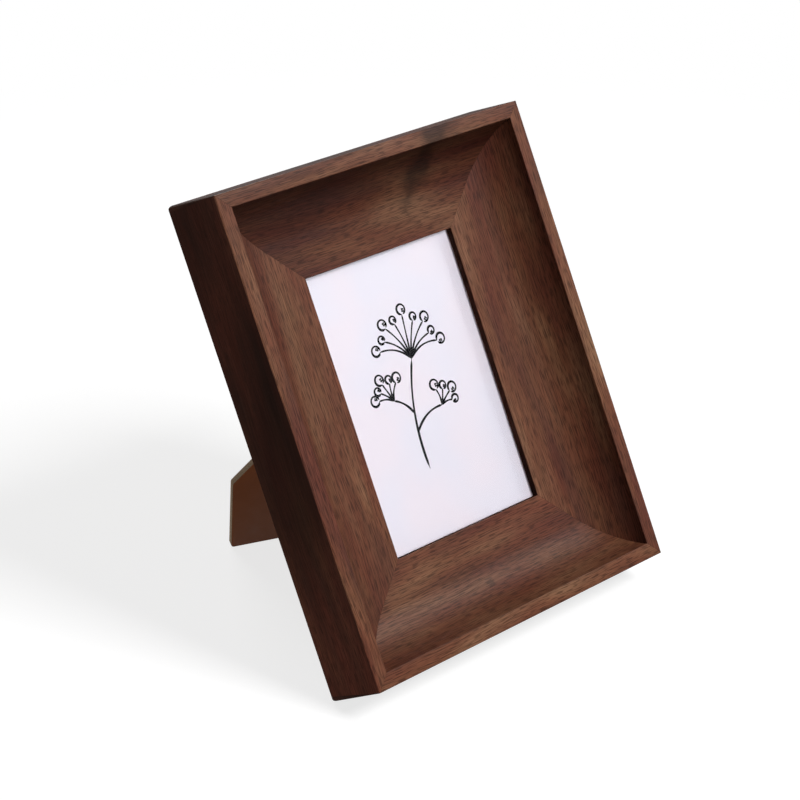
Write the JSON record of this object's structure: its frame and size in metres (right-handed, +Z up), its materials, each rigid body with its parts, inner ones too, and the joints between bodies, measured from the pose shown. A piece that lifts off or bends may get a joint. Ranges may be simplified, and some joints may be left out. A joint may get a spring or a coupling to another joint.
{
  "type": "picture frame",
  "caption": "Tabletop picture frame with a deep mitred cove moulding, glazed portrait window, turn-button back and hinged diagonal easel leg.",
  "frame": {"origin": "on the ground, under the middle of the box round the open, standing frame", "axes": "+X to the right as seen from the front, +Y from the front towards the leg at the back, +Z up. The frame itself leans back by 27.9 degrees about X."},
  "size_m": [0.1726, 0.154, 0.1983],
  "materials": {
    "walnut": "satin stained veneer",
    "fibreboard": "matt hardboard",
    "glass": "clear polished",
    "print_paper": "satin coated",
    "white_card": "matt",
    "corrugated_card": "matt",
    "brass_plate": "satin plated",
    "steel": "bright zinc plated"
  },
  "bodies": {
    "frame": {"top_rail": "walnut", "right_rail": "walnut", "bottom_rail": "walnut", "left_rail": "walnut", "corner_nail_top_right_1": "steel", "corner_nail_top_right_2": "steel", "corner_nail_bottom_right_1": "steel", "corner_nail_bottom_right_2": "steel", "corner_nail_bottom_left_1": "steel", "corner_nail_bottom_left_2": "steel", "corner_nail_top_left_1": "steel", "corner_nail_top_left_2": "steel", "glass_pane": "glass", "photo_print": "print_paper", "backing_card": "white_card", "corrugated_filler": "corrugated_card", "back_board": "fibreboard", "button_screw_top": "brass_plate", "button_screw_right": "brass_plate", "button_screw_bottom": "brass_plate", "button_screw_left": "brass_plate", "hanger_top": "brass_plate", "hanger_side": "brass_plate", "hanger_top_nail_a": "brass_plate", "hanger_top_nail_b": "brass_plate", "hanger_side_nail_a": "brass_plate", "hanger_side_nail_b": "brass_plate", "hinge_board_leaf": "steel", "hinge_pin": "steel", "board_rivet_left": "steel", "board_rivet_right": "steel"},
    "stand": {"stand_leg": "fibreboard", "hinge_leg_leaf": "steel", "leg_rivet_left": "steel", "leg_rivet_right": "steel"},
    "button_top": {"turn_button_top": "brass_plate"},
    "button_right": {"turn_button_right": "brass_plate"},
    "button_bottom": {"turn_button_bottom": "brass_plate"},
    "button_left": {"turn_button_left": "brass_plate"}
  },
  "joints": [
    {"name": "leg_hinge", "type": "hinge", "parent": "frame", "child": "stand", "pos_m": [0.027, 0.01323, 0.11704], "axis": [0.9011, -0.2028, -0.3833], "range_deg": [-45.5, 0]},
    {"name": "top_button_turn", "type": "hinge", "parent": "frame", "child": "button_top", "pos_m": [0, 0.02987, 0.15236], "axis": [0, 0.884, -0.4676], "continuous": true},
    {"name": "right_button_turn", "type": "hinge", "parent": "frame", "child": "button_right", "pos_m": [0.0485, -0.00169, 0.09269], "axis": [0, 0.884, -0.4676], "continuous": true},
    {"name": "bottom_button_turn", "type": "hinge", "parent": "frame", "child": "button_bottom", "pos_m": [0.026, -0.03325, 0.03303], "axis": [0, 0.884, -0.4676], "continuous": true},
    {"name": "left_button_turn", "type": "hinge", "parent": "frame", "child": "button_left", "pos_m": [-0.0485, -0.00169, 0.09269], "axis": [0, 0.884, -0.4676], "continuous": true}
  ]
}
